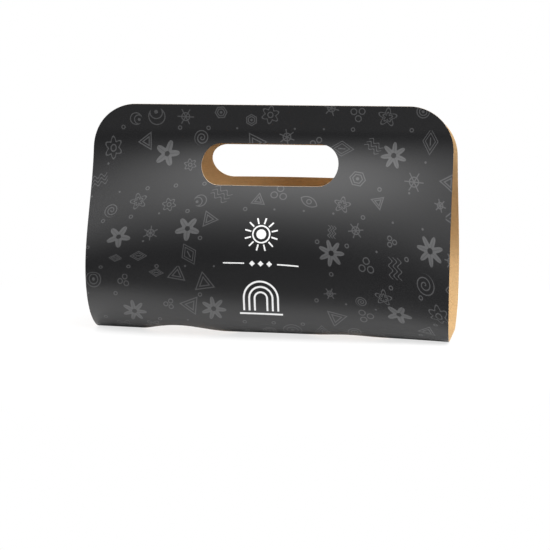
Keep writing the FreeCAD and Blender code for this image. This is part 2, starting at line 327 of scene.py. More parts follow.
class Maths:
    """Arithmetic on the sockets of one node tree."""

    def __init__(self, tree: bpy.types.NodeTree) -> None:
        """Starts the arithmetic of one node tree."""
        self.tree = tree

    def node(self, kind: str, **settings: object) -> bpy.types.Node:
        """A new node of one kind, with its settings made.

        Args:
            kind: the type of node.
            settings: the node's properties and their values.

        Returns:
            The node.
        """
        made = self.tree.nodes.new(kind)
        for name, value in settings.items():
            setattr(made, name, value)
        return made

    def feed(self, socket: Socket, value: object) -> None:
        """Links a socket, or sets a plain value, into an input.

        Args:
            socket: the input.
            value: a socket to link, or a plain value to set.
        """
        if isinstance(value, bpy.types.NodeSocket):
            self.tree.links.new(value, socket)
        else:
            socket.default_value = value

    def sum(self, operation: str, *values: Number) -> Socket:
        """The result of one Math node over some values.

        Args:
            operation: what the node works out.
            values: numbers or sockets.

        Returns:
            The node's result.
        """
        made = self.node("ShaderNodeMath", operation=operation)
        for socket, value in zip(made.inputs, values):
            self.feed(socket, value)
        return made.outputs[0]

    def add(self, first: Number, second: Number) -> Socket:
        """first + second."""
        return self.sum("ADD", first, second)

    def less(self, first: Number, second: Number) -> Socket:
        """first - second."""
        return self.sum("SUBTRACT", first, second)

    def times(self, first: Number, second: Number) -> Socket:
        """first * second."""
        return self.sum("MULTIPLY", first, second)

    def over(self, first: Number, second: Number) -> Socket:
        """first / second."""
        return self.sum("DIVIDE", first, second)

    def size(self, value: Number) -> Socket:
        """The value without its sign."""
        return self.sum("ABSOLUTE", value)

    def least(self, *values: Number) -> Socket:
        """The smallest of some values.

        Args:
            values: numbers or sockets.

        Returns:
            The smallest.
        """
        result = values[0]
        for value in values[1:]:
            result = self.sum("MINIMUM", result, value)
        return result

    def most(self, *values: Number) -> Socket:
        """The largest of some values.

        Args:
            values: numbers or sockets.

        Returns:
            The largest.
        """
        result = values[0]
        for value in values[1:]:
            result = self.sum("MAXIMUM", result, value)
        return result

    def reach(self, x: Number, y: Number) -> Socket:
        """Distance of (x, y) from nought."""
        return self.sum("SQRT", self.add(self.times(x, x), self.times(y, y)))

    def angle(self, x: Number, y: Number) -> Socket:
        """Direction of (x, y), in radians."""
        return self.sum("ARCTAN2", y, x)

    def inked(self, distance: Number, half_width: Number, soft: float = 0.12) -> Socket:
        """1 where a distance is under half a line's width, fading to 0 past it.

        Args:
            distance: distance from the line's middle.
            half_width: half of the line's width.
            soft: how far the edge fades to each side.

        Returns:
            The mask.
        """
        made = self.node("ShaderNodeMapRange", interpolation_type="SMOOTHSTEP")
        self.feed(made.inputs["Value"], distance)
        self.feed(made.inputs["From Min"], self.less(half_width, soft))
        self.feed(made.inputs["From Max"], self.add(half_width, soft))
        made.inputs["To Min"].default_value = 1.0
        made.inputs["To Max"].default_value = 0.0
        return made.outputs["Result"]

    def mixed(self, share: Number, first: object, second: object) -> Socket:
        """A colour between two colours.

        Args:
            share: how much of the second colour.
            first: the first colour.
            second: the second colour.

        Returns:
            The mixed colour.
        """
        made = self.node("ShaderNodeMix", data_type="RGBA")
        self.feed(made.inputs["Factor"], share)
        self.feed(made.inputs[6], first)
        self.feed(made.inputs[7], second)
        return made.outputs[2]


def new_group(
    name: str, inputs: Sequence[tuple[str, str, float | None]], outputs: Sequence[tuple[str, str]]
) -> tuple[bpy.types.NodeTree, Maths, bpy.types.Node, bpy.types.Node]:
    """A shader node group with named sockets.

    Args:
        name: the group's name.
        inputs: name, socket type and default of each input.
        outputs: name and socket type of each output.

    Returns:
        The group, its arithmetic, and its input and output nodes.
    """
    group = bpy.data.node_groups.new(name, "ShaderNodeTree")
    for label, kind, default in inputs:
        made = group.interface.new_socket(label, in_out="INPUT", socket_type=kind)
        if default is not None:
            made.default_value = default
    for label, kind in outputs:
        group.interface.new_socket(label, in_out="OUTPUT", socket_type=kind)
    maths = Maths(group)
    return group, maths, maths.node("NodeGroupInput"), maths.node("NodeGroupOutput")


# The print

Motif = Callable[[Maths, Socket, Socket], Socket]


def rings(m: Maths, x: Socket, y: Socket) -> Socket:
    """Two rings round a dot."""
    reach = m.reach(x, y)
    return m.least(m.size(m.less(reach, 4.5)), m.size(m.less(reach, 2.7)), m.less(reach, 0.7))


def hexagons(m: Maths, x: Socket, y: Socket) -> Socket:
    """A hexagon inside another, with a dot.

    Args:
        m: the node tree's arithmetic.
        x: place across the motif.
        y: place up the motif.

    Returns:
        How far the place is from the drawn lines.
    """
    slant = m.add(m.times(m.size(x), 0.866), m.times(m.size(y), 0.5))
    wide = m.most(slant, m.size(y))
    nested = m.least(m.size(m.less(wide, 4.1)), m.size(m.less(wide, 2.6)))
    return m.least(nested, m.less(m.reach(x, y), 0.7))


def diamonds(m: Maths, x: Socket, y: Socket) -> Socket:
    """A tall diamond inside another, with a short upright in it.

    Args:
        m: the node tree's arithmetic.
        x: place across the motif.
        y: place up the motif.

    Returns:
        How far the place is from the drawn lines.
    """
    wide = m.add(m.times(m.size(x), 1.25), m.times(m.size(y), 0.8))
    nested = m.least(m.size(m.less(wide, 4.8)), m.size(m.less(wide, 3.2)))
    return m.least(nested, m.most(m.size(x), m.less(m.size(y), 1.6)))


def stars(m: Maths, x: Socket, y: Socket) -> Socket:
    """A soft star of five points inside another.

    Args:
        m: the node tree's arithmetic.
        x: place across the motif.
        y: place up the motif.

    Returns:
        How far the place is from the drawn lines.
    """
    reach = m.reach(x, y)
    edge = m.add(m.times(m.sum("COSINE", m.times(m.angle(x, y), 5.0)), 1.3), 3.8)
    outer = m.times(m.size(m.less(reach, edge)), 0.75)
    inner = m.times(m.size(m.less(m.times(reach, 1.9), edge)), 0.42)
    return m.least(outer, inner)


def crescent(m: Maths, x: Socket, y: Socket) -> Socket:
    """The outline of a crescent, with a dot in its arms.

    Args:
        m: the node tree's arithmetic.
        x: place across the motif.
        y: place up the motif.

    Returns:
        How far the place is from the drawn lines.
    """
    bite = m.less(3.6, m.reach(m.less(x, 2.3), y))
    outline = m.size(m.most(m.less(m.reach(x, y), 4.7), bite))
    return m.least(outline, m.less(m.reach(m.less(x, 2.6), y), 0.8))


def ripples(m: Maths, x: Socket, y: Socket) -> Socket:
    """Three short wavy lines.

    Args:
        m: the node tree's arithmetic.
        x: place across the motif.
        y: place up the motif.

    Returns:
        How far the place is from the drawn lines.
    """
    level = m.less(y, m.times(m.sum("SINE", m.times(x, 1.5)), 0.9))
    spaced = m.size(m.less(m.sum("FLOORED_MODULO", m.add(level, 1.1), 2.2), 1.1))
    across = m.less(m.size(x), 4.6)
    return m.most(spaced, across, m.less(m.size(level), 2.6))


def snowflake(m: Maths, x: Socket, y: Socket) -> Socket:
    """Six spokes with a small ring round their meeting point.

    Args:
        m: the node tree's arithmetic.
        x: place across the motif.
        y: place up the motif.

    Returns:
        How far the place is from the drawn lines.
    """
    sixth = math.pi / 3
    turned = m.less(m.sum("FLOORED_MODULO", m.angle(x, y), sixth), sixth / 2)
    reach = m.reach(x, y)
    spoke = m.most(m.size(m.times(reach, m.sum("SINE", turned))), m.less(reach, 4.6))
    return m.least(spoke, m.size(m.less(reach, 2.3)))


def triangles(m: Maths, x: Socket, y: Socket) -> Socket:
    """A triangle inside another.

    Args:
        m: the node tree's arithmetic.
        x: place across the motif.
        y: place up the motif.

    Returns:
        How far the place is from the drawn lines.
    """
    slope = m.add(m.times(m.size(x), 0.866), m.times(y, 0.5))
    wide = m.most(slope, m.times(y, -1.0))
    return m.least(m.size(m.less(wide, 2.9)), m.size(m.less(wide, 1.5)))


def curl(m: Maths, x: Socket, y: Socket) -> Socket:
    """A small spiral.

    Args:
        m: the node tree's arithmetic.
        x: place across the motif.
        y: place up the motif.

    Returns:
        How far the place is from the drawn lines.
    """
    reach = m.reach(x, y)
    wound = m.less(reach, m.times(m.angle(x, y), 2.0 / math.tau))
    turn = m.size(m.less(m.sum("FLOORED_MODULO", wound, 2.0), 1.0))
    return m.most(turn, m.less(reach, 4.5))


def three_beads(m: Maths, x: Socket, y: Socket) -> Socket:
    """Three little rings in a triangle.

    Args:
        m: the node tree's arithmetic.
        x: place across the motif.
        y: place up the motif.

    Returns:
        How far the place is from the drawn lines.
    """
    third = math.tau / 3
    turned = m.less(m.sum("FLOORED_MODULO", m.angle(x, y), third), third / 2)
    reach = m.reach(x, y)
    over = m.less(m.times(reach, m.sum("COSINE", turned)), 2.6)
    return m.size(m.less(m.reach(over, m.times(reach, m.sum("SINE", turned))), 1.6))


def daisy(m: Maths, x: Socket, y: Socket) -> Socket:
    """The outline of a flower of six petals, with a ring in the middle.

    Args:
        m: the node tree's arithmetic.
        x: place across the motif.
        y: place up the motif.

    Returns:
        How far the place is from the drawn lines.
    """
    reach = m.reach(x, y)
    edge = m.add(m.times(m.sum("COSINE", m.times(m.angle(x, y), 6.0)), 0.9), 3.8)
    return m.least(m.times(m.size(m.less(reach, edge)), 0.8), m.size(m.less(reach, 1.4)))


def lens(m: Maths, x: Socket, y: Socket) -> Socket:
    """Two arcs that meet in points, with a ring between them."""
    outline = m.size(m.less(m.reach(x, m.add(m.size(y), 3.1)), 5.6))
    return m.least(outline, m.size(m.less(m.reach(x, y), 1.2)))


MOTIFS: tuple[Motif, ...] = (
    rings,
    hexagons,
    diamonds,
    stars,
    crescent,
    ripples,
    snowflake,
    triangles,
    curl,
    three_beads,
    daisy,
    lens,
)


@dataclass(frozen=True)
class Scatter:
    """A staggered grid of cells over the flat card, each with something random in it."""

    cell: float
    seed: float

    def keys(self, m: Maths, x: Socket, y: Socket) -> tuple[Socket, Socket, Socket, Socket]:
        """Finds the cell that a point lies in.

        Args:
            m: the node tree's arithmetic.
            x: place across the strip, in millimetres.
            y: place along the strip, in millimetres.

        Returns:
            Place in the cell across and along, from its middle, and two numbers of its own.
        """
        row = m.sum("FLOOR", m.over(y, self.cell))
        stagger = m.times(m.sum("FLOORED_MODULO", row, 2.0), 0.5)
        shifted = m.add(m.over(x, self.cell), stagger)
        column = m.sum("FLOOR", shifted)
        across = m.times(m.less(m.less(shifted, column), 0.5), self.cell)
        along = m.times(m.less(m.less(m.over(y, self.cell), row), 0.5), self.cell)
        return across, along, column, row

    def chances(self, m: Maths, column: Socket, row: Socket) -> list[Socket]:
        """Four random numbers of one cell, each from 0 to 1.

        Args:
            m: the node tree's arithmetic.
            column: the cell's place in its row.
            row: the cell's row.

        Returns:
            The four numbers.
        """
        key = m.node("ShaderNodeCombineXYZ")
        m.feed(key.inputs[0], column)
        m.feed(key.inputs[1], row)
        key.inputs[2].default_value = self.seed
        noise = m.node("ShaderNodeTexWhiteNoise", noise_dimensions="3D")
        m.feed(noise.inputs["Vector"], key.outputs[0])
        split = m.node("ShaderNodeSeparateColor")
        m.feed(split.inputs[0], noise.outputs["Color"])
        return [*split.outputs, noise.outputs["Value"]]


@dataclass(frozen=True)
class LineArt:
    """Small outlined motifs scattered over the card, with tiny ones and filled ones between."""

    small: Scatter = Scatter(cell=20.5, seed=11.0)
    tiny: Scatter = Scatter(cell=20.5, seed=23.0)
    empty_share: float = 0.14
    large: Scatter = Scatter(cell=57.0, seed=3.0)
    motif_radius: float = 4.9
    line_half: float = 0.36
    smallest: float = 0.78
    largest: float = 1.5
    turn_shuffle: float = 7.31
    drawn_shuffle: float = 37.7
    speck_ring: float = 1.2
    speck_dot: float = 0.4
    speck_margin: float = 2.0
    no_speck_share: float = 0.25
    blossom_radius: float = 9.5
    blossom_margin: float = 6.0
    petal_middle: float = 6.6
    petal_wave: float = 2.5
    heart_radius: float = 1.8
    vein_width: float = 0.16
    vein_soft: float = 0.1
    vein_strength: float = 0.3
    bare_across: float = 31.0
    bare_along: float = 39.0

    def outside_bare(self, m: Maths, source: bpy.types.Node, x: Socket, y: Socket) -> Socket:
        """1 where a motif's middle is clear of the bare place on the front, else 0.

        Args:
            m: the node tree's arithmetic.
            source: the group's input node.
            x: place across the strip.
            y: place along the strip.

        Returns:
            The mask.
        """
        beside = m.less(m.size(m.less(x, source.outputs["Bare Across"])), self.bare_across)
        above = m.less(m.size(m.less(y, source.outputs["Bare Along"])), self.bare_along)
        return m.sum("GREATER_THAN", m.most(beside, above), 0.0)

    def moved(
        self, m: Maths, place: tuple[Socket, Socket], chances: list[Socket], room: Number
    ) -> tuple[Socket, Socket]:
        """Moves a cell's middle by its random numbers, no further than the room.

        Args:
            m: the node tree's arithmetic.
            place: place from the cell's middle, across and along.
            chances: the cell's random numbers.
            room: how far the middle may move each way.

        Returns:
            The place from the moved middle, across and along.
        """
        across = m.add(place[0], m.times(m.less(chances[0], 0.5), m.times(room, 2.0)))
        along = m.add(place[1], m.times(m.less(chances[1], 0.5), m.times(room, 2.0)))
        return across, along

    def turned(
        self, m: Maths, x: Socket, y: Socket, turn: Socket, grow: Number
    ) -> tuple[Socket, Socket]:
        """Turns and scales a place round its motif's middle.

        Args:
            m: the node tree's arithmetic.
            x: place across the strip.
            y: place along the strip.
            turn: how far it is turned, from 0 to 1 for once round.
            grow: how much it is scaled.

        Returns:
            The place in the motif's own axes.
        """
        angle = m.times(turn, math.tau)
        cosine, sine = m.sum("COSINE", angle), m.sum("SINE", angle)
        across = m.less(m.times(x, cosine), m.times(y, sine))
        along = m.add(m.times(x, sine), m.times(y, cosine))
        return m.over(across, grow), m.over(along, grow)

    def blossom_place(self, m: Maths, x: Socket, y: Socket) -> tuple[Socket, Socket, list[Socket]]:
        """Place round the nearest filled blossom, and the blossom's random numbers.

        Args:
            m: the node tree's arithmetic.
            x: place across the strip.
            y: place along the strip.

        Returns:
            The place across and along, and the four numbers.
        """
        across, along, column, row = self.large.keys(m, x, y)
        chances = self.large.chances(m, column, row)
        room = self.large.cell / 2 - self.blossom_radius - self.blossom_margin
        across, along = self.moved(m, (across, along), chances, room)
        return across, along, chances

    def blossoms(self, m: Maths, source: bpy.types.Node, x: Socket, y: Socket) -> Socket:
        """Mask of the filled blossoms, with a vein in each petal.

        Args:
            m: the node tree's arithmetic.
            source: the group's input node.
            x: place across the strip.
            y: place along the strip.

        Returns:
            The mask.
        """
        across, along, chances = self.blossom_place(m, x, y)
        shown = self.outside_bare(m, source, m.less(x, across), m.less(y, along))
        across, along = self.turned(m, across, along, chances[2], 1.0)
        many = m.add(m.times(m.sum("GREATER_THAN", chances[3], 0.5), 2.0), 5.0)
        angle = m.times(m.angle(across, along), many)
        reach = m.reach(across, along)
        petal = m.add(m.times(m.sum("COSINE", angle), self.petal_wave), self.petal_middle)
        filled = m.most(m.less(reach, petal), m.less(self.heart_radius, reach))
        vein = m.size(m.times(m.times(reach, 0.2), m.sum("SINE", m.times(angle, 0.5))))
        veins = m.inked(vein, self.vein_width, self.vein_soft)
        ink = m.less(m.inked(filled, 0.0), m.times(veins, self.vein_strength))
        return m.times(m.most(ink, 0.0), shown)

    def outlines(self, m: Maths, source: bpy.types.Node, x: Socket, y: Socket) -> Socket:
        """Mask of the outlined motifs, one in each small cell.

        Args:
            m: the node tree's arithmetic.
            source: the group's input node.
            x: place across the strip.
            y: place along the strip.

        Returns:
            The mask.
        """
        across, along, column, row = self.small.keys(m, x, y)
        chances = self.small.chances(m, column, row)
        grow = m.add(m.times(chances[3], self.largest - self.smallest), self.smallest)
        room = m.less(self.small.cell / 2, m.times(grow, self.motif_radius))
        across, along = self.moved(m, (across, along), chances, m.most(room, 0.0))
        middle = (m.less(x, across), m.less(y, along))
        shown = self.outside_bare(m, source, *middle)
        big_x, big_y, _ = self.blossom_place(m, *middle)
        apart = m.add(m.times(grow, self.motif_radius), self.blossom_radius)
        shown = m.times(shown, m.sum("GREATER_THAN", m.reach(big_x, big_y), apart))
        shuffled = m.sum("FRACT", m.times(chances[2], self.drawn_shuffle))
        drawn = m.sum("GREATER_THAN", shuffled, self.empty_share)
        spun = m.sum("FRACT", m.times(chances[3], self.turn_shuffle))
        across, along = self.turned(m, across, along, spun, grow)
        choice = m.sum("FLOOR", m.times(chances[2], float(len(MOTIFS)) - 0.001))
        lines: Number = 0.0
        for number, motif in enumerate(MOTIFS):
            ink = m.inked(motif(m, across, along), m.over(self.line_half, grow))
            lines = m.add(lines, m.times(ink, m.sum("COMPARE", choice, float(number), 0.1)))
        return m.times(lines, m.times(shown, drawn))

    def specks(self, m: Maths, source: bpy.types.Node, x: Socket, y: Socket) -> Socket:
        """Mask of the tiny dots and rings, in the gaps between the small cells' middles.

        Args:
            m: the node tree's arithmetic.
            source: the group's input node.
            x: place across the strip.
            y: place along the strip.

        Returns:
            The mask.
        """
        cell = self.tiny.cell
        across, along, column, row = self.tiny.keys(m, m.add(x, cell / 4), m.add(y, cell / 2))
        chances = self.tiny.chances(m, column, row)
        shown = self.outside_bare(m, source, m.less(x, across), m.less(y, along))
        big_x, big_y, _ = self.blossom_place(m, m.less(x, across), m.less(y, along))
        nearest = self.blossom_radius + self.speck_margin
        apart = m.sum("GREATER_THAN", m.reach(big_x, big_y), nearest)
        reach = m.reach(across, along)
        ring = m.sum("GREATER_THAN", chances[2], 0.5)
        round_line = m.size(m.less(reach, m.times(ring, self.speck_ring)))
        shape = m.less(round_line, m.times(m.less(1.0, ring), self.speck_dot))
        some = m.sum("GREATER_THAN", chances[3], self.no_speck_share)
        return m.times(m.times(m.inked(shape, self.line_half), some), m.times(shown, apart))

    def group(self) -> bpy.types.NodeTree:
        """The node group that puts out the line art and the blossoms as masks.

        Returns:
            The node group.
        """
        group, m, source, result = new_group(
            "scattered_line_art",
            [
                ("Across", "NodeSocketFloat", 0.0),
                ("Along", "NodeSocketFloat", 0.0),
                ("Bare Across", "NodeSocketFloat", 0.0),
                ("Bare Along", "NodeSocketFloat", 0.0),
            ],
            [("Lines", "NodeSocketFloat"), ("Blossoms", "NodeSocketFloat")],
        )
        x, y = source.outputs["Across"], source.outputs["Along"]
        lines = m.most(self.outlines(m, source, x, y), self.specks(m, source, x, y))
        m.feed(result.inputs["Lines"], lines)
        m.feed(result.inputs["Blossoms"], self.blossoms(m, source, x, y))
        return group


@dataclass(frozen=True)
class Emblem:
    """A plain white device on the front wall: a sun, a ruled line and three arches."""

    sun_up: float = 31.0
    disc_radius: float = 3.4
    ring_radius: float = 5.9
    rays: int = 12
    ray_middle: float = 9.6
    ray_half: float = 1.7
    rule_up: float = 10.5
    rule_end: float = 19.0
    rule_gap: float = 7.0
    diamond_pitch: float = 6.0
    diamond_half: float = 2.0
    arches_up: float = -14.0
    arch_radii: tuple[float, ...] = (12.0, 8.2, 4.4)
    leg_length: float = 8.5
    foot_drop: float = 11.5
    foot_end: float = 14.5
    sun_line: float = 0.5
    rule_line: float = 0.45
    arch_line: float = 0.65

    def group(self) -> bpy.types.NodeTree:
        """The node group that puts out the device as a mask.

        Returns:
            The node group.
        """
        group, m, source, result = new_group(
            "front_device",
            [("Across", "NodeSocketFloat", 0.0), ("Up", "NodeSocketFloat", 0.0)],
            [("Device", "NodeSocketFloat")],
        )
        x, up = source.outputs["Across"], source.outputs["Up"]
        sun = self.sun(m, x, m.less(up, self.sun_up))
        rule = self.rule(m, x, m.less(up, self.rule_up))
        arches = self.arches(m, x, m.less(up, self.arches_up))
        m.feed(result.inputs["Device"], m.most(sun, rule, arches))
        return group

    def sun(self, m: Maths, x: Socket, y: Socket) -> Socket:
        """A ring with a disc in it and short rays round it.

        Args:
            m: the node tree's arithmetic.
            x: place across the piece of the device.
            y: place up the piece of the device.

        Returns:
            The mask.
        """
        reach = m.reach(x, y)
        step = math.tau / self.rays
        turned = m.less(m.sum("FLOORED_MODULO", m.angle(x, y), step), step / 2)
        ray = m.size(m.times(reach, m.sum("SINE", turned)))
        ray = m.most(ray, m.less(m.size(m.less(reach, self.ray_middle)), self.ray_half))
        ring = m.size(m.less(reach, self.ring_radius))
        return m.most(m.inked(m.least(ray, ring), self.sun_line), m.inked(reach, self.disc_radius))

    def rule(self, m: Maths, x: Socket, y: Socket) -> Socket:
        """A ruled line with three diamonds in the middle of it.

        Args:
            m: the node tree's arithmetic.
            x: place across the piece of the device.
            y: place up the piece of the device.

        Returns:
            The mask.
        """
        halves = m.size(m.less(m.size(x), self.rule_end))
        ends = m.inked(m.most(m.size(y), m.less(halves, self.rule_gap)), self.rule_line)
        half_pitch = self.diamond_pitch / 2
        spaced = m.sum("FLOORED_MODULO", m.add(x, half_pitch), self.diamond_pitch)
        across = m.size(m.less(spaced, half_pitch))
        diamonds = m.most(m.add(across, m.size(y)), m.less(m.size(x), self.rule_gap))
        return m.most(ends, m.inked(diamonds, self.diamond_half))

    def arches(self, m: Maths, x: Socket, y: Socket) -> Socket:
        """Three arches, one inside the other, with straight legs that stand on a line.

        Args:
            m: the node tree's arithmetic.
            x: place across the piece of the device.
            y: place up the piece of the device.

        Returns:
            The mask.
        """
        reach = m.reach(x, m.most(y, 0.0))
        arcs = m.least(*[m.size(m.less(reach, radius)) for radius in self.arch_radii])
        legs = m.most(arcs, m.less(m.times(y, -1.0), self.leg_length))
        foot = m.most(m.size(m.add(y, self.foot_drop)), m.less(m.size(x), self.foot_end))
        return m.inked(m.least(legs, foot), self.arch_line)


# The finishes


@dataclass(frozen=True)
class Fibre:
    """The fibres in the board, fine ones and faint clouds, shared by every finish."""

    scale: float = 900.0
    stretch: tuple[float, float, float] = (0.35, 1.0, 1.0)
    fine_detail: float = 5.0
    fine_roughness: float = 0.65
    fine_share: float = 0.7
    cloud_scale: float = 28.0
    cloud_detail: float = 3.0
    cloud_share: float = 0.3

    def group(self) -> bpy.types.NodeTree:
        """The node group that puts out the fibres' tone and their height.

        Returns:
            The node group.
        """
        group, m, source, result = new_group(
            "paper_fibre",
            [("Place", "NodeSocketVector", None), ("Scale", "NodeSocketFloat", self.scale)],
            [("Tone", "NodeSocketFloat"), ("Height", "NodeSocketFloat")],
        )
        stretch = m.node("ShaderNodeVectorMath", operation="MULTIPLY")
        m.feed(stretch.inputs[0], source.outputs["Place"])
        stretch.inputs[1].default_value = self.stretch
        fine = m.node("ShaderNodeTexNoise")
        m.feed(fine.inputs["Vector"], stretch.outputs[0])
        m.feed(fine.inputs["Scale"], source.outputs["Scale"])
        fine.inputs["Detail"].default_value = self.fine_detail
        fine.inputs["Roughness"].default_value = self.fine_roughness
        cloud = m.node("ShaderNodeTexNoise")
        m.feed(cloud.inputs["Vector"], source.outputs["Place"])
        cloud.inputs["Scale"].default_value = self.cloud_scale
        cloud.inputs["Detail"].default_value = self.cloud_detail
        fine_tone = m.times(fine.outputs[0], self.fine_share)
        cloud_tone = m.times(cloud.outputs[0], self.cloud_share)
        m.feed(result.inputs["Tone"], m.add(fine_tone, cloud_tone))
        m.feed(result.inputs["Height"], fine.outputs[0])
        return group


@dataclass(frozen=True)
class Finish:
    """A finish of the card: its name, its colour and how it takes the light."""

    name: str
    colour: Colour
    tone_swing: float
    roughness: float
    bump: float
    specular: float
    fibre_scale: float

    def start(self) -> tuple[bpy.types.Material, Maths, bpy.types.Node, bpy.types.Node]:
        """A new material with its shader and its fibres in place.

        Returns:
            The material, its arithmetic, its shader and the node of its fibres.
        """
        material = bpy.data.materials.new(self.name)
        material.use_nodes = True
        m = Maths(material.node_tree)
        shader = material.node_tree.nodes["Principled BSDF"]
        shader.inputs["Specular IOR Level"].default_value = self.specular
        place = m.node("ShaderNodeTexCoord")
        fibre = m.node("ShaderNodeGroup", node_tree=bpy.data.node_groups["paper_fibre"])
        m.feed(fibre.inputs["Place"], place.outputs["Object"])
        fibre.inputs["Scale"].default_value = self.fibre_scale
        bump = m.node("ShaderNodeBump")
        bump.inputs["Strength"].default_value = self.bump
        bump.inputs["Distance"].default_value = BUMP_DEPTH
        m.feed(bump.inputs["Height"], fibre.outputs["Height"])
        m.feed(shader.inputs["Normal"], bump.outputs[0])
        return material, m, shader, fibre

    def toned(self, m: Maths, fibre: bpy.types.Node, colour: object) -> Socket:
        """A colour, lighter and darker with the fibres.

        Args:
            m: the node tree's arithmetic.
            fibre: the node of the fibres.
            colour: the colour, or a socket of it.

        Returns:
            The toned colour.
        """
        made = m.node("ShaderNodeHueSaturation")
        swing = m.times(m.less(fibre.outputs["Tone"], 0.5), self.tone_swing)
        m.feed(made.inputs["Value"], m.add(swing, 1.0))
        m.feed(made.inputs["Color"], colour)
        return made.outputs[0]

    def rubbed(self, m: Maths, fibre: bpy.types.Node) -> Socket:
        """The roughness, a little uneven with the fibres."""
        swing = m.times(m.less(fibre.outputs["Tone"], 0.5), ROUGHNESS_SWING)
        return m.add(swing, self.roughness)

    def material(self) -> bpy.types.Material:
        """The finished material: a plain toned board.

        Returns:
            The material.
        """
        material, m, shader, fibre = self.start()
        m.feed(shader.inputs["Base Color"], self.toned(m, fibre, (*self.colour, 1.0)))
        m.feed(shader.inputs["Roughness"], self.rubbed(m, fibre))
        return material


@dataclass(frozen=True)
class PrintedFace(Finish):
    """The outer face: dark ink with grey line art and a white device on the front."""

    line_colour: Colour = (0.062, 0.062, 0.064)
    blossom_colour: Colour = (0.080, 0.080, 0.082)
    device_colour: Colour = (0.86, 0.86, 0.86)
    art: LineArt = LineArt()
    emblem: Emblem = Emblem()
    device_across: float = -3.0
    device_along: float = 0.0
    bare_up: float = 8.5

    def material(self) -> bpy.types.Material:
        """The finished material: print over toned board.

        Returns:
            The material.
        """
        material, m, shader, fibre = self.start()
        flat = m.node("ShaderNodeUVMap", uv_map="blank")
        split = m.node("ShaderNodeSeparateXYZ")
        m.feed(split.inputs[0], flat.outputs[0])
        across = m.times(m.less(split.outputs[0], 0.5), SHEET_SPAN)
        along = m.times(split.outputs[1], SHEET_SPAN)
        art = m.node("ShaderNodeGroup", node_tree=self.art.group())
        m.feed(art.inputs["Across"], across)
        m.feed(art.inputs["Along"], along)
        art.inputs["Bare Across"].default_value = self.device_across
        art.inputs["Bare Along"].default_value = self.device_along + self.bare_up
        device = m.node("ShaderNodeGroup", node_tree=self.emblem.group())
        m.feed(device.inputs["Across"], m.less(across, self.device_across))
        m.feed(device.inputs["Up"], m.less(along, self.device_along))
        ink = self.toned(m, fibre, (*self.colour, 1.0))
        ink = m.mixed(art.outputs["Lines"], ink, (*self.line_colour, 1.0))
        ink = m.mixed(art.outputs["Blossoms"], ink, (*self.blossom_colour, 1.0))
        ink = m.mixed(device.outputs["Device"], ink, (*self.device_colour, 1.0))
        m.feed(shader.inputs["Base Color"], ink)
        m.feed(shader.inputs["Roughness"], self.rubbed(m, fibre))
        return material


# The card's mesh


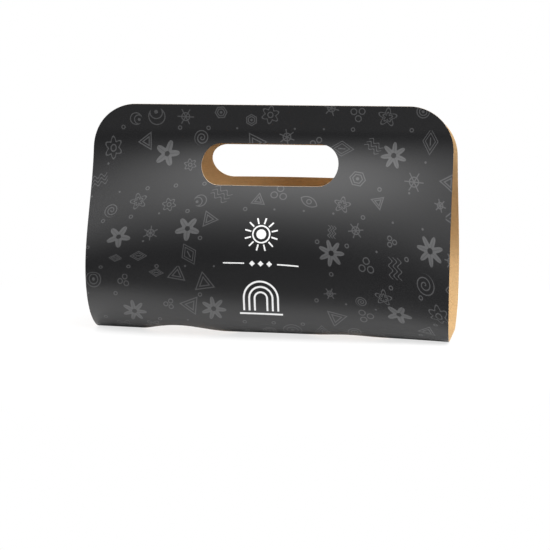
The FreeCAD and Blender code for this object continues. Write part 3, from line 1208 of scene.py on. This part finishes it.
@dataclass
class BentCard:
    """The card itself: one strip, bent, glued, given its thickness and pierced."""

    form: CardForm = CardForm()
    columns: int = 104
    layer_gap: float = 0.01
    knife_margin: float = 10.0
    hole_cut_height: float = 50.0
    slot_segments: int = 96
    hole_segments: int = 128
    smooth_angle: float = math.radians(40.0)
    rows: dict[Stretch, int] = field(
        default_factory=lambda: {
            Stretch.BACK_HANDLE: 22,
            Stretch.BACK_WALL: 40,
            Stretch.BACK_TURN: 26,
            Stretch.LAND: 6,
            Stretch.FRONT_TURN: 26,
            Stretch.FRONT_WALL: 40,
            Stretch.FRONT_HANDLE: 22,
        }
    )

    def stops(self) -> list[tuple[Stretch, float]]:
        """Where each row of the strip lies: its stretch, and how far along it.

        Returns:
            The rows, from the back wing's top to the front wing's.
        """
        result = []
        for stretch, count in self.rows.items():
            for index in range(count):
                along = index / count
                if stretch is Stretch.FRONT_HANDLE:
                    along = math.sin(along * math.pi / 2)
                elif stretch is Stretch.BACK_HANDLE:
                    along = 1 - math.cos(along * math.pi / 2)
                result.append((stretch, along))
        result.append((Stretch.FRONT_HANDLE, 1.0))
        return result

    def lengths(self) -> list[float]:
        """Distance along the strip's middle to each row, in millimetres, from the back.

        Returns:
            One distance for each row.
        """
        total, result, last = 0.0, [], None
        for stretch, along in self.stops():
            point = Vector(self.form.section(stretch, along, 0.0))
            if last is not None:
                total += (point - last).length
            last = point
            result.append(total)
        return result

    def along_at(self, height: float) -> float:
        """Distance along the strip to a height on the front wall, in millimetres.

        Args:
            height: height on the front wall, in millimetres.

        Returns:
            The distance from the back wing's top edge.
        """
        low, low_length = 0.0, 0.0
        for (stretch, along), length in zip(self.stops(), self.lengths()):
            if stretch not in (Stretch.FRONT_TURN, Stretch.FRONT_WALL):
                continue
            high = self.form.section(stretch, along, 0.0)[1]
            if high >= height:
                share = (height - low) / (high - low)
                return low_length + share * (length - low_length)
            low, low_length = high, length
        return low_length

    def strip(self) -> bpy.types.Object:
        """The bent strip as a sheet with no thickness, with its flat blank as UV map.

        Returns:
            The strip's object.
        """
        stops, lengths = self.stops(), self.lengths()
        last_row = len(stops) - 1
        bm = bmesh.new()
        bmesh.ops.create_grid(
            bm, x_segments=self.columns, y_segments=last_row, size=0.5, calc_uvs=True
        )
        flat = bm.loops.layers.uv.verify()
        places = {}
        for vertex in bm.verts:
            row = round((vertex.co.y + 0.5) * last_row)
            across = vertex.co.x + 0.5
            stretch, along = stops[row]
            places[vertex] = (self.form.place(stretch, along, across), lengths[row])
        for vertex, (place, _) in places.items():
            vertex.co = place
        for face in bm.faces:
            for loop in face.loops:
                place, length = places[loop.vert]
                across = place.x / MM / SHEET_SPAN + 0.5
                loop[flat].uv = (across, length / SHEET_SPAN)
        bm.normal_update()
        lowest = min(bm.faces, key=lambda face: face.calc_center_median().z)
        if lowest.normal.z > 0:
            bmesh.ops.reverse_faces(bm, faces=bm.faces[:])
        mesh = bpy.data.meshes.new("bent_strip")
        bm.to_mesh(mesh)
        bm.free()
        mesh.uv_layers[0].name = "blank"
        made = bpy.data.objects.new("bent_card", mesh)
        bpy.context.scene.collection.objects.link(made)
        return made

    def slot_knife(self, wing: Wing) -> bpy.types.Object:
        """The cutter of the hand slot through one wing: a stadium pushed along Y.

        Args:
            wing: which wall of the loop.

        Returns:
            The cutter's object.
        """
        form, segments = self.form, self.slot_segments
        radius = form.slot_height / 2
        shift = form.slot_length / 2 - radius
        at_back = wing is Wing.BACK
        height = form.total_height - form.slot_drop - radius - (form.slot_sink if at_back else 0.0)
        bm = bmesh.new()
        bmesh.ops.create_circle(
            bm,
            cap_ends=True,
            segments=segments,
            radius=radius / math.cos(math.pi / segments),
            matrix=Matrix.Rotation(math.pi / segments, 4, "Z"),
        )
        for vertex in bm.verts:
            vertex.co.x += math.copysign(shift, vertex.co.x)
        bmesh.ops.rotate(bm, verts=bm.verts[:], matrix=Matrix.Rotation(math.pi / 2, 3, "X"))
        lean = wing.value * form.glue_shift / 2 + (form.slot_slip if at_back else 0.0)
        bmesh.ops.translate(bm, verts=bm.verts[:], vec=Vector((lean, 0.0, height)))
        far = Vector((0.0, wing.value * (form.middle.reach + self.knife_margin), 0.0))
        return self.pushed(bm, far, f"{wing.name.lower()}_slot_knife")

    def hole_knife(self, side: int) -> bpy.types.Object:
        """The cutter of one round hole: an ellipse pushed up through the base.

        Args:
            side: -1 for the left hole, 1 for the right.

        Returns:
            The cutter's object.
        """
        form = self.form
        bm = bmesh.new()
        bmesh.ops.create_circle(bm, cap_ends=True, segments=self.hole_segments, radius=0.5)
        size = Vector((form.hole_length, form.hole_depth, 1.0))
        bmesh.ops.scale(bm, verts=bm.verts[:], vec=size)
        start = Vector((side * form.hole_pitch / 2, 0.0, -self.knife_margin))
        bmesh.ops.translate(bm, verts=bm.verts[:], vec=start)
        far = Vector((0.0, 0.0, self.hole_cut_height))
        return self.pushed(bm, far, f"hole_knife_{side:+d}")

    def pushed(self, bm: bmesh.types.BMesh, far: Vector, name: str) -> bpy.types.Object:
        """Pushes a flat outline into a closed cutter and scales it to metres.

        Args:
            bm: the outline, one face, in millimetres; it is freed.
            far: how far and which way it is pushed.
            name: the cutter's name.

        Returns:
            The cutter's object.
        """
        result = bmesh.ops.extrude_face_region(bm, geom=bm.faces[:])
        moved = [item for item in result["geom"] if isinstance(item, bmesh.types.BMVert)]
        bmesh.ops.translate(bm, verts=moved, vec=far)
        bmesh.ops.recalc_face_normals(bm, faces=bm.faces[:])
        bmesh.ops.scale(bm, verts=bm.verts[:], vec=Vector((MM, MM, MM)))
        mesh = bpy.data.meshes.new(name)
        bm.to_mesh(mesh)
        bm.free()
        made = bpy.data.objects.new(name, mesh)
        bpy.context.scene.collection.objects.link(made)
        return made

    def build(self, outside: Finish, inside: Finish, edge: Finish) -> bpy.types.Object:
        """Makes the finished card.

        Args:
            outside: finish of the printed face.
            inside: finish of the bare face.
            edge: finish of the cut edges.

        Returns:
            The card's object.
        """
        card = self.strip()
        edge_material = edge.material()
        for material in (outside.material(), inside.material(), edge_material):
            card.data.materials.append(material)
        wall = card.modifiers.new("thickness", "SOLIDIFY")
        wall.thickness = (self.form.thickness - self.layer_gap) * MM
        wall.offset = -1.0
        wall.use_even_offset = True
        wall.material_offset = 1
        wall.material_offset_rim = 2
        knives = [self.slot_knife(Wing.FRONT), self.slot_knife(Wing.BACK)]
        knives += [self.hole_knife(-1), self.hole_knife(1)]
        for knife in knives:
            knife.data.materials.append(edge_material)
            cut = card.modifiers.new(knife.name, "BOOLEAN")
            cut.operation = "DIFFERENCE"
            cut.solver = "EXACT"
            cut.material_mode = "TRANSFER"
            cut.object = knife
        bpy.context.view_layer.update()
        finished = card.evaluated_get(bpy.context.evaluated_depsgraph_get())
        mesh = bpy.data.meshes.new_from_object(finished)
        card.modifiers.clear()
        card.data = mesh
        mesh.name = "bent_card"
        for knife in knives:
            bpy.data.objects.remove(knife)
        for polygon in mesh.polygons:
            polygon.use_smooth = True
        mesh.set_sharp_from_angle(angle=self.smooth_angle)
        return card


# The studio


@dataclass(frozen=True)
class Lamp:
    """A soft rectangular lamp: where it stands and its sides, in metres, and its watts."""

    name: str
    place: tuple[float, float, float]
    sides: tuple[float, float]
    watts: float

    def hang(self, aim: Vector) -> None:
        """Makes the lamp, out of the camera's sight, and turns it to a point.

        Args:
            aim: the point that it faces.
        """
        data = bpy.data.lights.new(self.name, "AREA")
        data.shape = "RECTANGLE"
        data.size, data.size_y = self.sides
        data.energy = self.watts
        made = bpy.data.objects.new(self.name, data)
        made.location = self.place
        made.visible_camera = False
        made.rotation_euler = (aim - Vector(self.place)).to_track_quat("-Z", "Y").to_euler()
        bpy.context.scene.collection.objects.link(made)


@dataclass(frozen=True)
class Fade:
    """A smooth change from one value to another between two distances, in metres."""

    near: float
    far: float
    first: float
    last: float

    def over(self, m: Maths, distance: Socket) -> Socket:
        """The value at a distance.

        Args:
            m: the node tree's arithmetic.
            distance: the distance, in metres.

        Returns:
            The value, as a socket.
        """
        made = m.node("ShaderNodeMapRange", interpolation_type="SMOOTHSTEP")
        m.feed(made.inputs["Value"], distance)
        made.inputs["From Min"].default_value = self.near
        made.inputs["From Max"].default_value = self.far
        made.inputs["To Min"].default_value = self.first
        made.inputs["To Max"].default_value = self.last
        return made.outputs["Result"]


@dataclass(frozen=True)
class Studio:
    """The camera at the photograph's angle, a pale floor and soft light.

    The room's glow is given by the angle above the horizon, in degrees. The floor's colour that
    the print mirrors is a painted pool of light, by the distance from the card's middle line: pale
    near it and painted dimmer far off.
    """

    aim: Vector = field(default_factory=lambda: Vector((0.0003, 0.0, 0.0387)))
    distance: float = 1.357
    turn: float = math.radians(8.7)
    height: float = math.radians(12.0)
    roll: float = math.radians(-0.5)
    focal_pixels: float = 1900.0
    frame_pixels: float = 550.0
    sensor_width: float = 36.0
    clip_start: float = 0.05
    lamp_aim: Vector = field(default_factory=lambda: Vector((0.0, 0.0, 0.08)))
    lamps: tuple[Lamp, ...] = (
        Lamp("overhead", (-0.10, -0.15, 1.1), (1.3, 0.4), 3.0),
        Lamp("left_lamp", (-1.25, -0.25, 0.6), (0.7, 0.7), 11.0),
        Lamp("right_lamp", (1.14, -0.64, 0.68), (0.7, 0.7), 23.0),
    )
    room_glow: tuple[tuple[float, float], ...] = (
        (-90.0, 0.43),
        (-12.0, 0.41),
        (-3.0, 0.10),
        (12.0, 0.05),
        (20.0, 0.11),
        (30.0, 0.28),
        (39.0, 0.52),
        (46.0, 0.83),
        (52.0, 1.25),
        (60.0, 1.75),
        (90.0, 1.75),
    )
    floor_radius: float = 0.28
    floor_gap: float = 0.0003
    floor_segments: int = 96
    floor_roughness: float = 0.9
    floor_pale: float = 0.86
    floor_to_white: Fade = Fade(0.14, 0.266, 0.72, 1.0)
    # Painted pool of light on the floor: its colour for mirrored rays, pale near the card's middle
    # line and painted dark further off.
    floor_painted_light: Fade = Fade(0.03, 0.17, 0.82, 0.06)
    middle_line_half: float = 0.10

    def camera(self) -> None:
        """The camera, turned and rolled as the photograph's."""
        level = math.cos(self.height)
        away = Vector((math.sin(self.turn) * level, -math.cos(self.turn) * level, 0.0))
        away.z = math.sin(self.height)
        right = Vector((0.0, 0.0, 1.0)).cross(away).normalized()
        up = away.cross(right)
        rolled = Matrix.Rotation(self.roll, 3, away)
        axes = Matrix((rolled @ right, rolled @ up, away)).transposed().to_4x4()
        data = bpy.data.cameras.new("camera")
        data.sensor_width = self.sensor_width
        data.lens = data.sensor_width * self.focal_pixels / self.frame_pixels
        data.clip_start = self.clip_start
        made = bpy.data.objects.new("camera", data)
        made.matrix_world = Matrix.Translation(self.aim + away * self.distance) @ axes
        bpy.context.scene.collection.objects.link(made)
        bpy.context.scene.camera = made

    def world(self) -> None:
        """A room that glows softly from above and is dim level with the eye.

        The camera sees it as white.
        """
        world = bpy.data.worlds.new("room")
        bpy.context.scene.world = world
        world.use_nodes = True
        m = Maths(world.node_tree)
        back = world.node_tree.nodes["Background"]
        m.feed(back.inputs["Color"], (1.0, 1.0, 1.0, 1.0))
        place = m.node("ShaderNodeTexCoord")
        split = m.node("ShaderNodeSeparateXYZ")
        m.feed(split.inputs[0], place.outputs["Generated"])
        ramp = m.node("ShaderNodeValToRGB")
        m.feed(ramp.inputs[0], m.add(m.times(split.outputs[2], 0.5), 0.5))
        stops = ramp.color_ramp.elements
        brightest = max(glow for _, glow in self.room_glow)
        for index, (elevation, glow) in enumerate(self.room_glow):
            at = math.sin(math.radians(elevation)) / 2 + 0.5
            stop = stops[index] if index < 2 else stops.new(at)
            stop.position = at
            stop.color = (*[glow / brightest] * 3, 1.0)
        glow_seen = m.times(ramp.outputs[0], brightest)
        seen = m.node("ShaderNodeLightPath").outputs["Is Camera Ray"]
        strength = m.add(m.times(m.less(1.0, seen), glow_seen), seen)
        m.feed(back.inputs["Strength"], strength)

    def floor(self) -> bpy.types.Object:
        """The pale floor, which keeps the object's shadow and fades to white far off. For all but
        camera rays its colour is a painted pool of light, pale near the card and painted dark
        further off.

        Returns:
            The floor's object.
        """
        bm = bmesh.new()
        bmesh.ops.create_circle(
            bm, cap_ends=True, segments=self.floor_segments, radius=self.floor_radius
        )
        bmesh.ops.translate(bm, verts=bm.verts[:], vec=Vector((0.0, 0.0, -self.floor_gap)))
        mesh = bpy.data.meshes.new("floor")
        bm.to_mesh(mesh)
        bm.free()
        made = bpy.data.objects.new("floor", mesh)
        bpy.context.scene.collection.objects.link(made)
        material = bpy.data.materials.new("pale_floor")
        material.use_nodes = True
        m = Maths(material.node_tree)
        shader = material.node_tree.nodes["Principled BSDF"]
        shader.inputs["Roughness"].default_value = self.floor_roughness
        shader.inputs["Specular IOR Level"].default_value = 0.0
        place = m.node("ShaderNodeTexCoord")
        span = m.node("ShaderNodeVectorMath", operation="LENGTH")
        m.feed(span.inputs[0], place.outputs["Object"])
        split = m.node("ShaderNodeSeparateXYZ")
        m.feed(split.inputs[0], place.outputs["Object"])
        beyond_end = m.most(m.less(m.size(split.outputs[0]), self.middle_line_half), 0.0)
        white_share = self.floor_to_white.over(m, span.outputs["Value"])
        # Painted pool of light: for rays other than the camera's, the floor's colour goes from
        # pale near the card to dark further off, and the print mirrors it.
        painted_light = self.floor_painted_light.over(m, m.reach(beyond_end, split.outputs[1]))
        seen = m.node("ShaderNodeLightPath").outputs["Is Camera Ray"]
        pale = (*[self.floor_pale] * 3, 1.0)
        m.feed(shader.inputs["Base Color"], m.mixed(seen, painted_light, pale))
        white = m.node("ShaderNodeEmission")
        mix = m.node("ShaderNodeMixShader")
        m.feed(mix.inputs[0], m.times(seen, white_share))
        m.feed(mix.inputs[1], shader.outputs[0])
        m.feed(mix.inputs[2], white.outputs[0])
        m.feed(material.node_tree.nodes["Material Output"].inputs["Surface"], mix.outputs[0])
        made.data.materials.append(material)
        return made

    def build(self) -> None:
        """Sets up the whole studio."""
        bpy.context.scene.view_settings.view_transform = "Standard"
        self.camera()
        for lamp in self.lamps:
            lamp.hang(self.lamp_aim)
        self.world()
        self.floor()


# Putting it together


def main() -> None:
    """Builds the studio and the card, and reports each piece."""
    logging.basicConfig(level=logging.INFO, format="%(name)s: %(message)s")
    Studio().build()
    LOG.info("studio ready")
    Fibre().group()
    card = BentCard()
    outside = PrintedFace(
        name="printed_ink",
        colour=(0.0080, 0.0080, 0.0088),
        tone_swing=0.35,
        roughness=0.33,
        bump=0.10,
        specular=0.70,
        fibre_scale=1400.0,
        device_along=card.along_at(DEVICE_UP),
    )
    inside = Finish(
        name="bare_kraft",
        colour=(0.61, 0.413, 0.208),
        tone_swing=0.55,
        roughness=0.85,
        bump=0.25,
        specular=0.2,
        fibre_scale=900.0,
    )
    edge = Finish(
        name="cut_edge",
        colour=(0.66, 0.53, 0.40),
        tone_swing=0.5,
        roughness=0.9,
        bump=0.2,
        specular=0.15,
        fibre_scale=1600.0,
    )
    piece = card.build(outside, inside, edge)
    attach(piece, "root")
    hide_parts(NODE)
    LOG.info("card: %d faces, strip %.1f mm long", len(piece.data.polygons), card.lengths()[-1])


if __name__ == "__main__":
    main()
